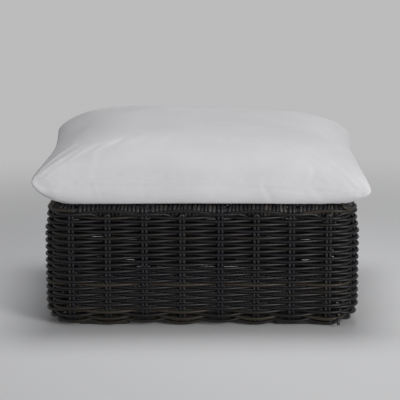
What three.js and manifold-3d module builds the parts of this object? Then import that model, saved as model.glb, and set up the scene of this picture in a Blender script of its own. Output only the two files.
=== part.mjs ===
// Outdoor ottoman footstool: a loose knife-edge cushion on a base of woven resin strand.
// Millimetres, +Z up. The origin is on the floor under the middle, and the front faces -Y.
// A welded tube frame carries the weave: a wrapped top rail, a bottom rail and four corner posts.
// Pairs of upright stakes stand round the frame, and two long strands chase each other round them.
import * as THREE from "three";
import { mergeVertices } from "three/addons/utils/BufferGeometryUtils.js";
import Module from "manifold-3d";

const wasm = await Module();
wasm.setup();

// Overall sizes of the woven base
const basketWidth = 716;
const basketDepth = 610;
const cornerRadius = 64;
const rimHeight = 287;

// Fits
const clearance = 0.3;
const overrun = 6;

// Frame tubes
const topRailRadius = 9.5;
const bottomRailRadius = 8;
const postRadius = 8;
const crossBarRadius = 8;
const postShift = 4.5;
const crossBarPlaceShare = 0.5;

// Resin strands
const stakeRadius = 3.5;
const weaverRadius = 3.55;
const pairSpacing = 8.4;
const stakePitch = 84;
const leastRowPitch = 7.5;
const railClearance = 0.5;
const bottomRowRise = 2;
const cornerSwell = 1.6;
const strandEndGap = 3;
const bandCount = 4;

// Rim: the wrapped strand, the openings left in it and the two cords laid below it
const wrapSlotWidth = 20;
const wrapBridgeWidth = 17;
const cordStandOff = 1;
const hairpinDrop = 7;

// Turned-in foot of the wall
const curlRadius = 90;
const curlTop = 79;
const curlSteps = 3;
const tailAngle = Math.PI * 0.54;

// Seat deck of crossed straps
const deckThickness = 3;
const deckCornerRadius = 22;
const strapWidth = 44;
const strapGap = 62;
const deckEdgeClearance = 0.6;

// Feet
const footLength = 117;
const footWidth = 30;
const footHeight = 10;
const footEndInset = 73;
const footCornerRadius = 9;
const footChannelClearance = 0.6;

// Cushion: its knife edge overhangs the base and stands above the rim
const cushionSideOverhang = 24;
const cushionFrontOverhang = 27;
const cushionSeamRise = 57;
const cushionCrown = 106;
const cushionPull = 23;
const cushionBelly = 118;
const crownSquareness = 3.4;
const crownSteepness = 2.2;
const bellySquareness = 4.3;
const bellySteepness = 2.5;
const cushionColumns = 22;
const cushionRows = 18;

// Section sides and steps along bends
const tubeSides = 8;
const postSides = 12;
const weaverSides = 4;
const stakeSides = 3;
const railBendSteps = 4;
const outlineBendSteps = 3;

// Points of a strand on a corner: share of the bend turned, and of the swing from pair to pair
const cornerStops = [
  { turnShare: 0.25, swingShare: 0.125 },
  { turnShare: 0.75, swingShare: 0.875 },
];

// Sizes that follow from those above
const strandContact = stakeRadius + weaverRadius + clearance;
const weaveSwing = strandContact / (1 - pairSpacing / stakePitch);
const wallInset = weaveSwing + cornerSwell + weaverRadius;
const lineX = basketWidth / 2 - wallInset;
const lineY = basketDepth / 2 - wallInset;
const lineRadius = cornerRadius - wallInset;
const wrapRadius = topRailRadius + clearance + 2 * stakeRadius;
const topRailHeight = rimHeight - wrapRadius;
const topRailInset = topRailRadius + clearance + stakeRadius;
const bottomRailHeight = footHeight + clearance + bottomRailRadius;
const tailRadius = bottomRailRadius + clearance + stakeRadius;
const curlAngle = Math.asin((curlTop - bottomRailHeight) / (curlRadius - tailRadius));
const bottomRailInset = curlRadius - (curlRadius - tailRadius) * Math.cos(curlAngle);
const bottomRailBend = Math.max(lineRadius - bottomRailInset, bottomRailRadius + clearance);
const tuckedReach = wrapRadius + stakeRadius + clearance;
const tuckedHeight = topRailHeight - Math.sqrt(tuckedReach ** 2 - topRailInset ** 2);
const cushionWidth = basketWidth + 2 * cushionSideOverhang;
const cushionDepth = basketDepth + 2 * cushionFrontOverhang;
const cushionSeamHeight = rimHeight + cushionSeamRise;
const bellyDrop = cushionSeamRise - clearance;

// Flat sides of the turned-in foot: a polygon on the curl's arc, shared by stakes and rows
const curlStepAngle = curlAngle / curlSteps;
const curlStepLength = 2 * curlRadius * Math.sin(curlStepAngle / 2);

function curlCorner(angle) {
  const inset = curlRadius * (1 - Math.cos(angle));
  const height = curlTop - curlRadius * Math.sin(angle);
  return { inset, height };
}

// A point of the wall's middle line: girth is the length up the wall from the top of the curl
function wallProfile(girth) {
  if (girth >= 0) {
    return { inset: 0, height: curlTop + girth, tilt: 0 };
  }
  const step = Math.min(Math.floor(-girth / curlStepLength), curlSteps - 1);
  const upper = curlCorner(step * curlStepAngle);
  const lower = curlCorner((step + 1) * curlStepAngle);
  const share = -girth / curlStepLength - step;
  return {
    inset: upper.inset + (lower.inset - upper.inset) * share,
    height: upper.height + (lower.height - upper.height) * share,
    tilt: (step + share) * curlStepAngle,
  };
}

// Rows of weave: from just above the bottom rail to just under the wrapped rim
const rowTopDrop = Math.sqrt(
  (wrapRadius + weaverRadius + railClearance) ** 2 - (topRailInset - weaveSwing) ** 2,
);
const rowTopGirth = topRailHeight - rowTopDrop - curlTop;
const rowBottomReach = bottomRailRadius + weaverRadius + railClearance + bottomRowRise;
const rowBottomGirth = rowBottomReach - curlSteps * curlStepLength;
const rowSpan = rowTopGirth - rowBottomGirth;
const rowCount = 2 * Math.floor((rowSpan / leastRowPitch + 1) / 2);
const rowPitch = rowSpan / (rowCount - 1);
const turnCount = rowCount / 2;

const resin = { color: 0x35332f, roughness: 0.55, metalness: 0 };
const resinDark = { color: 0x2a2927, roughness: 0.6, metalness: 0 };
const tube = { color: 0x26272a, roughness: 0.45, metalness: 0.6 };
const webbing = { color: 0x232323, roughness: 0.8, metalness: 0 };
const glide = { color: 0x161616, roughness: 0.5, metalness: 0 };
const fabric = { color: 0xcfcfcd, roughness: 0.95, metalness: 0 };

const ottoman = new THREE.Group();

function addPiece(name, geometry, finish) {
  const piece = new THREE.Mesh(geometry, new THREE.MeshStandardMaterial(finish));
  piece.name = name;
  ottoman.add(piece);
}

// Signed volume of a closed mesh, positive when its faces point outwards
function signedVolume(points, faces) {
  let volume = 0;
  for (let i = 0; i < faces.length; i += 3) {
    const a = points[faces[i]];
    const b = points[faces[i + 1]];
    const c = points[faces[i + 2]];
    volume += a.dot(new THREE.Vector3().crossVectors(b, c)) / 6;
  }
  return volume;
}

function solidFrom(points, faces) {
  const facesOut = signedVolume(points, faces) < 0 ? faces.slice().reverse() : faces;
  const geometry = new THREE.BufferGeometry().setFromPoints(points);
  geometry.setIndex(facesOut);
  return geometry;
}

// Skins a row of rings that all have the same number of points, with flat ends unless closed
function loft(rings, closed) {
  const sides = rings[0].length;
  const points = rings.flat();
  const faces = [];
  const spans = closed ? rings.length : rings.length - 1;
  for (let i = 0; i < spans; i++) {
    const here = i * sides;
    const next = ((i + 1) % rings.length) * sides;
    for (let j = 0; j < sides; j++) {
      const k = (j + 1) % sides;
      faces.push(here + j, here + k, next + k);
      faces.push(here + j, next + k, next + j);
    }
  }
  if (!closed) {
    const last = (rings.length - 1) * sides;
    for (let j = 1; j < sides - 1; j++) {
      faces.push(0, j + 1, j);
      faces.push(last, last + j, last + j + 1);
    }
  }
  return solidFrom(points, faces);
}

// A regular section round a centre, with its first corner along the axis called out
function section(centre, out, up, radius, sides) {
  const ring = [];
  for (let i = 0; i < sides; i++) {
    const angle = (2 * Math.PI * i) / sides;
    ring.push(
      centre
        .clone()
        .addScaledVector(out, radius * Math.cos(angle))
        .addScaledVector(up, radius * Math.sin(angle)),
    );
  }
  return ring;
}

// Plan of the base: a rounded rectangle walked from the front left corner, to the right
const sides = [
  { outX: 0, outY: -1, half: lineY, run: lineX - lineRadius },
  { outX: 1, outY: 0, half: lineX, run: lineY - lineRadius },
  { outX: 0, outY: 1, half: lineY, run: lineX - lineRadius },
  { outX: -1, outY: 0, half: lineX, run: lineY - lineRadius },
];

// A place on the wall's middle line, along the run of one side
function runPlace(side, along) {
  const alongX = -side.outY;
  const alongY = side.outX;
  return {
    x: side.outX * side.half + alongX * along,
    y: side.outY * side.half + alongY * along,
    out: new THREE.Vector3(side.outX, side.outY, 0),
    along: new THREE.Vector3(alongX, alongY, 0),
  };
}

// A place on the bend that follows one side
function bendPlace(side, angle) {
  const end = runPlace(side, side.run);
  const out = end.out.clone().multiplyScalar(Math.cos(angle));
  out.addScaledVector(end.along, Math.sin(angle));
  const along = new THREE.Vector3(-out.y, out.x, 0);
  return {
    x: end.x + (out.x - end.out.x) * lineRadius,
    y: end.y + (out.y - end.out.y) * lineRadius,
    out,
    along,
  };
}

function pointAt(place, inset, height) {
  const point = new THREE.Vector3(place.x, place.y, height);
  return point.addScaledVector(place.out, -inset);
}

// Stake pairs stand evenly along each side, with one at each end of its run
const pairPlaces = [];
const bendAfter = [];
for (const side of sides) {
  const gaps = Math.round((2 * side.run) / stakePitch);
  for (let i = 0; i <= gaps; i++) {
    pairPlaces.push(runPlace(side, side.run * ((2 * i) / gaps - 1)));
    bendAfter.push(i === gaps ? side : null);
  }
}
const pairCount = pairPlaces.length;
const foldsOver = (index) => index % 2 === 0;

// Closed tube round the base, inset from the wall's middle line
function ringTube(inset, bend, height, radius) {
  const up = new THREE.Vector3(0, 0, 1);
  const shift = lineRadius - inset - bend;
  const rings = [];
  for (const side of sides) {
    for (let i = 0; i <= railBendSteps; i++) {
      const place = bendPlace(side, (Math.PI / 2) * (i / railBendSteps));
      const centre = runPlace(side, side.run);
      const pivot = new THREE.Vector3(centre.x, centre.y, height);
      pivot.addScaledVector(centre.out, -lineRadius);
      pivot.addScaledVector(bendPlace(side, 0).out, shift);
      pivot.addScaledVector(centre.along, shift);
      const middle = pivot.addScaledVector(place.out, bend);
      rings.push(section(middle, place.out, up, radius, tubeSides));
    }
  }
  return loft(rings, true);
}

function toManifold(geometry) {
  const bare = geometry.clone();
  bare.deleteAttribute("normal");
  bare.deleteAttribute("uv");
  const merged = mergeVertices(bare);
  return new wasm.Manifold(
    new wasm.Mesh({
      numProp: 3,
      vertProperties: new Float32Array(merged.attributes.position.array),
      triVerts: new Uint32Array(merged.index.array),
    }),
  );
}

function fromManifold(solid) {
  const mesh = solid.getMesh();
  const geometry = new THREE.BufferGeometry();
  geometry.setAttribute("position", new THREE.BufferAttribute(mesh.vertProperties, 3));
  geometry.setIndex(new THREE.BufferAttribute(mesh.triVerts, 1));
  return geometry;
}

// A block set square to the wall at a place, given its reach outwards and upwards
function blockAt(place, width, inner, outer, low, high) {
  const middle = new THREE.Vector3(place.x, place.y, (low + high) / 2);
  middle.addScaledVector(place.out, (inner + outer) / 2);
  const block = new THREE.BoxGeometry(outer - inner, width, high - low);
  block.rotateZ(Math.atan2(place.out.y, place.out.x));
  block.translate(middle.x, middle.y, middle.z);
  return toManifold(block);
}

// Corner posts lean out from the bottom rail's corner to the underside of the top rail
const postFootRadius = bottomRailBend;
const postHeadRadius = lineRadius - topRailInset - postShift;

function postRings(side, radius, beyond) {
  const place = bendPlace(side, Math.PI / 4);
  const bottomInset = lineRadius - postFootRadius;
  const cornerShift = (lineRadius - bottomRailInset - bottomRailBend) * Math.SQRT2;
  const topInset = lineRadius - postHeadRadius;
  const bottomHeight = bottomRailHeight + bottomRailRadius + clearance;
  const topHeight = topRailHeight - topRailRadius - clearance;
  const flatX = new THREE.Vector3(1, 0, 0);
  const flatY = new THREE.Vector3(0, 1, 0);
  const foot = pointAt(place, bottomInset - cornerShift, bottomHeight);
  const head = pointAt(place, topInset, topHeight);
  head.addScaledVector(head.clone().sub(foot).normalize(), beyond);
  return [
    section(foot, flatX, flatY, radius, postSides),
    section(head, flatX, flatY, radius, postSides),
  ];
}

// Frame
addPiece(
  "top_rail",
  ringTube(topRailInset, lineRadius - topRailInset, topRailHeight, topRailRadius),
  tube,
);
addPiece(
  "bottom_rail",
  ringTube(bottomRailInset, bottomRailBend, bottomRailHeight, bottomRailRadius),
  tube,
);
const cornerNames = ["front_right", "back_right", "back_left", "front_left"];
sides.forEach((side, i) => {
  addPiece("corner_post_" + cornerNames[i], loft(postRings(side, postRadius, 0), false), tube);
});

const crossBarHalf = lineY - topRailInset - wrapRadius - clearance;
for (const [name, sign] of [["left", -1], ["right", 1]]) {
  const bar = new THREE.CylinderGeometry(crossBarRadius, crossBarRadius, 2 * crossBarHalf, postSides);
  bar.rotateY(Math.PI / postSides);
  bar.translate(sign * lineX * crossBarPlaceShare, 0, topRailHeight);
  addPiece("cross_bar_" + name, bar, tube);
}

// Rim wrap: the close-wound sleeve round the top rail, open where a stake pair folds over it
function rimWrap() {
  const bend = lineRadius - topRailInset;
  const bore = topRailRadius + clearance;
  let sleeve = toManifold(ringTube(topRailInset, bend, topRailHeight, wrapRadius));
  sleeve = sleeve.subtract(toManifold(ringTube(topRailInset, bend, topRailHeight, bore)));
  const middle = -topRailInset;
  const reach = wrapRadius + overrun;
  const bridge = wrapBridgeWidth / 2;
  const top = topRailHeight + reach;
  const bottom = topRailHeight - reach;
  pairPlaces.forEach((place, index) => {
    if (!foldsOver(index)) {
      return;
    }
    const cuts = [
      [middle - reach, middle + reach, topRailHeight - bore],
      [middle + bridge, middle + reach, bottom],
      [middle - reach, middle - bridge, bottom],
    ];
    for (const [inner, outer, low] of cuts) {
      sleeve = sleeve.subtract(blockAt(place, wrapSlotWidth, inner, outer, low, top));
    }
  });
  for (const side of sides) {
    const cutter = loft(postRings(side, postRadius + clearance, overrun), false);
    sleeve = sleeve.subtract(toManifold(cutter));
  }
  return fromManifold(sleeve);
}
addPiece("rim_wrap", rimWrap(), resinDark);

// Path of one strand of a stake, from its tip under the bottom rail up to the rim
function stakePath(place, aside, over) {
  const path = [];
  const sidestep = place.along.clone().multiplyScalar(aside);
  const add = (inset, height, tilt) => {
    const out = place.out.clone().multiplyScalar(Math.cos(tilt));
    out.z = -Math.sin(tilt);
    path.push({ centre: pointAt(place, inset, height).add(sidestep), out, aside: place.along });
  };
  for (const angle of [tailAngle, Math.PI / 2]) {
    const inset = bottomRailInset - tailRadius * Math.cos(angle);
    add(inset, bottomRailHeight - tailRadius * Math.sin(angle), angle);
  }
  for (let i = curlSteps; i >= 0; i--) {
    const corner = curlCorner(i * curlStepAngle);
    add(corner.inset, corner.height, i * curlStepAngle);
  }
  if (over) {
    for (let i = 0; i <= tubeSides / 2; i++) {
      const angle = (2 * Math.PI * i) / tubeSides;
      const inset = topRailInset - topRailInset * Math.cos(angle);
      add(inset, topRailHeight + topRailInset * Math.sin(angle), -angle);
    }
  } else {
    add(0, tuckedHeight - pairSpacing / 2, 0);
  }
  return path;
}

// The bend that joins the two strands of a pair: it closes the loop beyond their upper ends
function hairpinBend(place, over) {
  const bend = [];
  const inset = over ? 2 * topRailInset : 0;
  const tilt = over ? -Math.PI : 0;
  const start = over ? topRailHeight - hairpinDrop : tuckedHeight - pairSpacing / 2;
  const rise = over ? -pairSpacing / 2 : pairSpacing / 2;
  for (const angle of [Math.PI / 4, (3 * Math.PI) / 4]) {
    const out = place.out.clone().multiplyScalar(Math.cos(tilt));
    const height = start + rise * Math.sin(angle);
    const centre = pointAt(place, inset, height);
    centre.addScaledVector(place.along, -Math.cos(angle) * (pairSpacing / 2));
    const turned = place.along.clone().multiplyScalar(Math.cos(angle));
    turned.z = -Math.sin(angle) * Math.cos(tilt);
    bend.push({ centre, out, aside: turned });
  }
  return bend;
}

function stakePair(place, over) {
  const left = stakePath(place, -pairSpacing / 2, over);
  const right = stakePath(place, pairSpacing / 2, over).reverse();
  for (const step of right) {
    step.aside = step.aside.clone().negate();
  }
  const steps = [...left, ...hairpinBend(place, over), ...right];
  const rings = steps.map((s) => section(s.centre, s.out, s.aside, stakeRadius, stakeSides));
  return loft(rings, false);
}

pairPlaces.forEach((place, index) => {
  const number = String(index + 1).padStart(2, "0");
  addPiece("stake_pair_" + number, stakePair(place, foldsOver(index)), resin);
});

// Steps of the two rising strands: every row climbs one pitch beside the middle of each end
const leftSide = sides[3];
const rightSide = sides[1];
function startNear(side, odd) {
  let best = 0;
  let least = Infinity;
  pairPlaces.forEach((place, index) => {
    const middle = runPlace(side, 0);
    const away = Math.hypot(place.x - middle.x, place.y - middle.y);
    if (index % 2 === odd && away < least) {
      least = away;
      best = index;
    }
  });
  return best;
}
const startFirst = startNear(leftSide, 1);
const startSecond = startNear(rightSide, 0);
const climbPairs = 2;

// Share of a climb already made where a strand passes a pair, from 0 to 1
function climbBefore(index, start) {
  const ahead = (start - index + pairCount) % pairCount;
  return ahead < climbPairs ? 1 - ahead / climbPairs : 0;
}

// Rows climbed by a strand when it has passed so many pairs since its own start
function rowsClimbed(start, other, passed) {
  const index = (start + passed) % pairCount;
  const wholeTurns = Math.floor(passed / pairCount);
  const since = passed - wholeTurns * pairCount;
  const toOther = (other - start + pairCount) % pairCount;
  const half = since >= toOther ? 1 : climbBefore(index, other);
  const home = since > toOther ? climbBefore(index, start) : 0;
  return 2 * wholeTurns + half + home;
}

// A point beside the wall's middle line: swing is how far out, step how far along
function wallPoint(place, girth, swing) {
  const wall = wallProfile(girth);
  const point = pointAt(place, wall.inset - swing * Math.cos(wall.tilt), wall.height);
  point.z -= swing * Math.sin(wall.tilt);
  const up = place.out.clone().multiplyScalar(Math.sin(wall.tilt));
  up.z = Math.cos(wall.tilt);
  return { point, up };
}

// One length of a strand, woven outside the even pairs or the odd ones
function weaver(start, other, outsideOdd, firstPair, lastPair) {
  const stops = [];
  const swingAt = (passed) => {
    const index = (start + passed) % pairCount;
    const atBend = bendAfter[index] || bendAfter[(index + pairCount - 1) % pairCount];
    const outside = index % 2 === outsideOdd;
    const shift = outside ? cornerSwell : cornerSwell - clearance;
    const swing = outside ? weaveSwing : -weaveSwing;
    return atBend ? swing + shift : swing;
  };
  for (let passed = firstPair; passed <= lastPair; passed++) {
    const index = (start + passed) % pairCount;
    const girth = rowBottomGirth + rowPitch * rowsClimbed(start, other, passed);
    stops.push(wallPoint(pairPlaces[index], girth, swingAt(passed)));
    if (bendAfter[index] && passed < lastPair) {
      const from = swingAt(passed);
      const to = swingAt(passed + 1);
      for (const stop of cornerStops) {
        const place = bendPlace(bendAfter[index], (Math.PI / 2) * stop.turnShare);
        stops.push(wallPoint(place, girth, from + (to - from) * stop.swingShare));
      }
    }
  }
  const firstStep = stops[1].point.clone().sub(stops[0].point).normalize();
  stops[0].point.addScaledVector(firstStep, strandEndGap / 2);
  const end = stops.length - 1;
  const lastStep = stops[end - 1].point.clone().sub(stops[end].point).normalize();
  stops[end].point.addScaledVector(lastStep, strandEndGap / 2);
  const rings = stops.map((stop, i) => {
    const before = stops[Math.max(i - 1, 0)].point;
    const after = stops[Math.min(i + 1, end)].point;
    const into = stop.point.clone().sub(before).normalize();
    const away = after.clone().sub(stop.point).normalize();
    const travel = into.add(away).normalize();
    const out = new THREE.Vector3().crossVectors(travel, stop.up).normalize();
    const up = new THREE.Vector3().crossVectors(out, travel);
    return section(stop.point, out, up, weaverRadius, weaverSides);
  });
  return loft(rings, false);
}

const strands = [
  { name: "weaver_first", start: startFirst, other: startSecond, outsideOdd: 0 },
  { name: "weaver_second", start: startSecond, other: startFirst, outsideOdd: 1 },
];
for (const strand of strands) {
  for (let band = 0; band < bandCount; band++) {
    const first = pairCount * Math.round((turnCount * band) / bandCount);
    const whole = pairCount * Math.round((turnCount * (band + 1)) / bandCount);
    const last = band === bandCount - 1 ? whole - climbPairs : whole;
    const body = weaver(strand.start, strand.other, strand.outsideOdd, first, last);
    addPiece(strand.name + "_" + (band + 1), body, resin);
  }
}

// Rim cords: two rows laid round outside every stake, just under the wrap
function rimCord(row) {
  const up = new THREE.Vector3(0, 0, 1);
  const height = curlTop + rowTopGirth + rowPitch * row;
  const stand = strandContact + cordStandOff;
  const rings = [];
  for (const side of sides) {
    for (let i = 0; i <= railBendSteps; i++) {
      const place = bendPlace(side, (Math.PI / 2) * (i / railBendSteps));
      const centre = pointAt(place, -stand, height);
      rings.push(section(centre, place.out, up, weaverRadius, weaverSides));
    }
  }
  return loft(rings, true);
}
addPiece("rim_cord_lower", rimCord(1), resin);
addPiece("rim_cord_upper", rimCord(2), resin);

// Seat deck: crossed straps on the cross bars, inside the wrapped rim
const deckBottom = topRailHeight + crossBarRadius + clearance;
const deckEdge = Math.sqrt(wrapRadius ** 2 - (deckBottom - topRailHeight) ** 2);
const deckInset = topRailInset + deckEdge + deckEdgeClearance;

function roundedOutline(middleX, middleY, halfX, halfY, radius) {
  const points = [];
  for (let corner = 0; corner < 4; corner++) {
    const signX = corner === 1 || corner === 2 ? -1 : 1;
    const signY = corner < 2 ? 1 : -1;
    for (let i = 0; i <= outlineBendSteps; i++) {
      const angle = (Math.PI / 2) * (corner + i / outlineBendSteps);
      const x = middleX + signX * (halfX - radius) + radius * Math.cos(angle);
      const y = middleY + signY * (halfY - radius) + radius * Math.sin(angle);
      points.push(new THREE.Vector2(x, y));
    }
  }
  return new THREE.Shape(points);
}

function strapDeck() {
  const halfX = lineX - deckInset;
  const halfY = lineY - deckInset;
  const pitch = strapWidth + strapGap;
  const outline = roundedOutline(0, 0, halfX, halfY, deckCornerRadius);
  const plate = new THREE.ExtrudeGeometry(outline, { depth: deckThickness, bevelEnabled: false });
  plate.translate(0, 0, deckBottom);
  let deck = toManifold(plate);
  const columns = Math.floor((2 * halfX - strapWidth) / pitch);
  const rows = Math.floor((2 * halfY - strapWidth) / pitch);
  for (let i = 0; i < columns; i++) {
    for (let j = 0; j < rows; j++) {
      const hole = new THREE.BoxGeometry(strapGap, strapGap, 2 * (deckThickness + overrun));
      const x = (i - (columns - 1) / 2) * pitch;
      const y = (j - (rows - 1) / 2) * pitch;
      hole.translate(x, y, deckBottom);
      deck = deck.subtract(toManifold(hole));
    }
  }
  return fromManifold(deck);
}
addPiece("seat_deck", strapDeck(), webbing);

// Feet: flat glides under the bottom rail, each cut across where a stake pair turns under
function footGlide(signX, signY) {
  const outer = basketWidth / 2 - footEndInset;
  const inner = outer - footLength;
  const middleY = signY * (lineY - bottomRailInset);
  const middleX = (inner + outer) / 2;
  const outline = roundedOutline(middleX, middleY, footLength / 2, footWidth / 2, footCornerRadius);
  const settings = { depth: footHeight, bevelEnabled: false };
  const pad = new THREE.ExtrudeGeometry(outline, settings);
  let glideBody = toManifold(pad);
  const channel = pairSpacing + 2 * stakeRadius + 2 * footChannelClearance;
  const floor = bottomRailHeight - tailRadius - stakeRadius - footChannelClearance;
  for (const place of pairPlaces) {
    const overFoot = Math.abs(place.y) > lineY - clearance && place.x > inner && place.x < outer;
    if (overFoot && Math.sign(place.y) === signY) {
      const reach = bottomRailInset + footWidth;
      const cutter = blockAt(place, channel, -reach, 0, floor, footHeight + overrun);
      glideBody = glideBody.subtract(cutter);
    }
  }
  const geometry = fromManifold(glideBody);
  if (signX < 0) {
    geometry.rotateZ(Math.PI);
  }
  return geometry;
}
addPiece("foot_front_right", footGlide(1, -1), glide);
addPiece("foot_back_right", footGlide(1, 1), glide);
addPiece("foot_back_left", footGlide(-1, -1), glide);
addPiece("foot_front_left", footGlide(-1, 1), glide);

// Cushion: a knife-edge pillow with drawn-in sides, crowned above and settled flat on the rim
function cushionPoint(u, v, above) {
  const x = u * (cushionWidth / 2 - cushionPull * (1 - v * v));
  const y = v * (cushionDepth / 2 - cushionPull * (1 - u * u));
  const squareness = above ? crownSquareness : bellySquareness;
  const steepness = above ? crownSteepness : bellySteepness;
  const rise = (1 - Math.abs(u) ** squareness) * (1 - Math.abs(v) ** squareness);
  const fullness = Math.max(rise, 0) ** (1 / steepness);
  const z = above
    ? cushionSeamHeight + cushionCrown * fullness
    : cushionSeamHeight - Math.min(bellyDrop, cushionBelly * fullness);
  return new THREE.Vector3(x, y, z);
}

function cushion() {
  const points = [];
  const faces = [];
  const crowd = (i, count) => Math.sin((Math.PI / 2) * ((2 * i) / count - 1));
  const seen = new Map();
  const corner = (i, j, above) => {
    const onEdge = i === 0 || j === 0 || i === cushionColumns || j === cushionRows;
    const key = i + "," + j + "," + (onEdge || above);
    if (!seen.has(key)) {
      seen.set(key, points.length);
      points.push(cushionPoint(crowd(i, cushionColumns), crowd(j, cushionRows), above));
    }
    return seen.get(key);
  };
  for (const above of [true, false]) {
    for (let i = 0; i < cushionColumns; i++) {
      for (let j = 0; j < cushionRows; j++) {
        const a = corner(i, j, above);
        const b = corner(i + 1, j, above);
        const c = corner(i + 1, j + 1, above);
        const d = corner(i, j + 1, above);
        const quad = above ? [a, b, c, a, c, d] : [a, c, b, a, d, c];
        faces.push(...quad);
      }
    }
  }
  return solidFrom(points, faces);
}
addPiece("cushion", cushion(), fabric);

export default ottoman;
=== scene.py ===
import math
import random

import bmesh
import bpy
from mathutils import Matrix, Vector, noise


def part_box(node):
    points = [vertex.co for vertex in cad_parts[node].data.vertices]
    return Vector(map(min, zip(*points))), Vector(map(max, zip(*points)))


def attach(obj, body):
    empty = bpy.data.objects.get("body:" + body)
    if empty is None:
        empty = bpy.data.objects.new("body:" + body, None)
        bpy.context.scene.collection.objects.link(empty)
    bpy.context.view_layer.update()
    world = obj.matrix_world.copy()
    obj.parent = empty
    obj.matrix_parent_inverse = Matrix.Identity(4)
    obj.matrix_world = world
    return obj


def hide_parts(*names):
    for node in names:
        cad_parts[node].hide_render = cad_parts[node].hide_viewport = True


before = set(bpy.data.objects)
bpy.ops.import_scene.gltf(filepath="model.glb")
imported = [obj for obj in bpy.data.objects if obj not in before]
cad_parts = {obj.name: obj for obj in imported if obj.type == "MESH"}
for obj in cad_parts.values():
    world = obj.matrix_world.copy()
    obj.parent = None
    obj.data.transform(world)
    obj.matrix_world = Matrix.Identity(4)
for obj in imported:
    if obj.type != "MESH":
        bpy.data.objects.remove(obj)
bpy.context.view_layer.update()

# Outdoor ottoman footstool: pale knife-edge cushion on a charcoal wicker base. Metres, +Z up, front faces -Y.

up = Vector((0, 0, 1))
quarterTurn = math.pi / 2
dice = random.Random(41)


# Shared helpers

def hexColour(text):
    channels = [int(text[i:i + 2], 16) / 255 for i in (1, 3, 5)]
    linear = [c / 12.92 if c <= 0.04045 else ((c + 0.055) / 1.055) ** 2.4 for c in channels]
    return (*linear, 1.0)


def addNode(tree, kind, settings=None, links=None):
    node = tree.nodes.new(kind)
    for name, value in (settings or {}).items():
        if isinstance(name, str) and hasattr(node, name):
            setattr(node, name, value)
        else:
            node.inputs[name].default_value = value
    for name, source in (links or {}).items():
        tree.links.new(source, node.inputs[name])
    return node


def newMaterial(name):
    material = bpy.data.materials.new(name)
    material.use_nodes = True
    material.node_tree.nodes.clear()
    return material, material.node_tree


def setRamp(node, stops):
    ramp = node.color_ramp
    while len(ramp.elements) < len(stops):
        ramp.elements.new(0.5)
    for element, (place, colour) in zip(ramp.elements, stops):
        element.position = place
        element.color = hexColour(colour)


# Scale of a wave texture whose bands lie this far apart
def bandScale(spacing):
    return math.pi / 10 / spacing


# 0 to 1 with soft ends; a share outside that range stays at its end
def smoothStep(share):
    share = min(max(share, 0), 1)
    return share * share * (3 - 2 * share)


def linkObject(name, mesh):
    piece = bpy.data.objects.new(name, mesh)
    bpy.context.scene.collection.objects.link(piece)
    return piece


def meshFromBmesh(name, bm, smooth=True):
    mesh = bpy.data.meshes.new(name)
    bm.to_mesh(mesh)
    bm.free()
    for face in mesh.polygons:
        face.use_smooth = smooth
    return mesh


# Keep what the modifiers make of a piece as its own mesh
def bakedCopy(piece):
    graph = bpy.context.evaluated_depsgraph_get()
    baked = bpy.data.meshes.new_from_object(piece.evaluated_get(graph))
    piece.modifiers.clear()
    piece.data = baked


def fitPiece(piece, body, material, node):
    piece.data.materials.clear()
    piece.data.materials.append(material)
    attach(piece, body)
    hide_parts(node)


# Round strand, and how its tone runs from dark, 0, to pale, 1
strand = {
    "sides": 8,
    "middleTone": 0.5,
    "toneDrift": 0.55,  # along one strand
    "toneSpread": 0.16,  # from strand to strand
}


# One mesh of round strand swept along each path. A path is a dict of points, and may say that it is closed, how
# pale it is beside its neighbours (shade) or its whole tone (evenTone). The tone drifts over toneReach metres.
def sweepStrands(name, paths, radius, sides=strand["sides"], toneReach=0.9):
    curve = bpy.data.curves.new(name + "Path", "CURVE")
    curve.dimensions = "3D"
    curve.bevel_depth = radius
    curve.bevel_resolution = (sides - 4) // 2
    curve.twist_mode = "MINIMUM"
    for path in paths:
        spline = curve.splines.new("POLY")
        spline.points.add(len(path["points"]) - 1)
        for point, place in zip(spline.points, path["points"]):
            point.co = (*place, 1)
        spline.use_cyclic_u = path.get("closed", False)
    carrier = bpy.data.objects.new(name + "Carrier", curve)
    bpy.context.scene.collection.objects.link(carrier)
    graph = bpy.context.evaluated_depsgraph_get()
    mesh = bpy.data.meshes.new_from_object(carrier.evaluated_get(graph))
    bpy.data.objects.remove(carrier)
    bpy.data.curves.remove(curve)
    mesh.name = name

    tones = []
    for path in paths:
        if "evenTone" in path:
            tones.extend([path["evenTone"]] * sides * len(path["points"]))
            continue
        seed = dice.uniform(0, 100)
        shade = path.get("shade", dice.uniform(-1, 1))
        run = 0.0
        before = path["points"][0]
        for place in path["points"]:
            run += (Vector(place) - Vector(before)).length
            before = place
            drift = noise.noise(Vector((run / toneReach, seed, 0.3)))
            tone = strand["middleTone"] + strand["toneDrift"] * drift + strand["toneSpread"] * shade
            tones.extend([tone] * sides)
    if len(tones) != len(mesh.vertices):
        raise RuntimeError(f"{name}: {len(tones)} tones for {len(mesh.vertices)} vertices")
    attribute = mesh.attributes.new("tone", "FLOAT", "POINT")
    attribute.data.foreach_set("value", tones)

    bm = bmesh.new()
    bm.from_mesh(mesh)
    bmesh.ops.holes_fill(bm, edges=[e for e in bm.edges if e.is_boundary], sides=0)
    bmesh.ops.recalc_face_normals(bm, faces=bm.faces)
    bm.to_mesh(mesh)
    bm.free()
    for face in mesh.polygons:
        face.use_smooth = True
    return linkObject(name, mesh)


# Plan of the base

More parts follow.
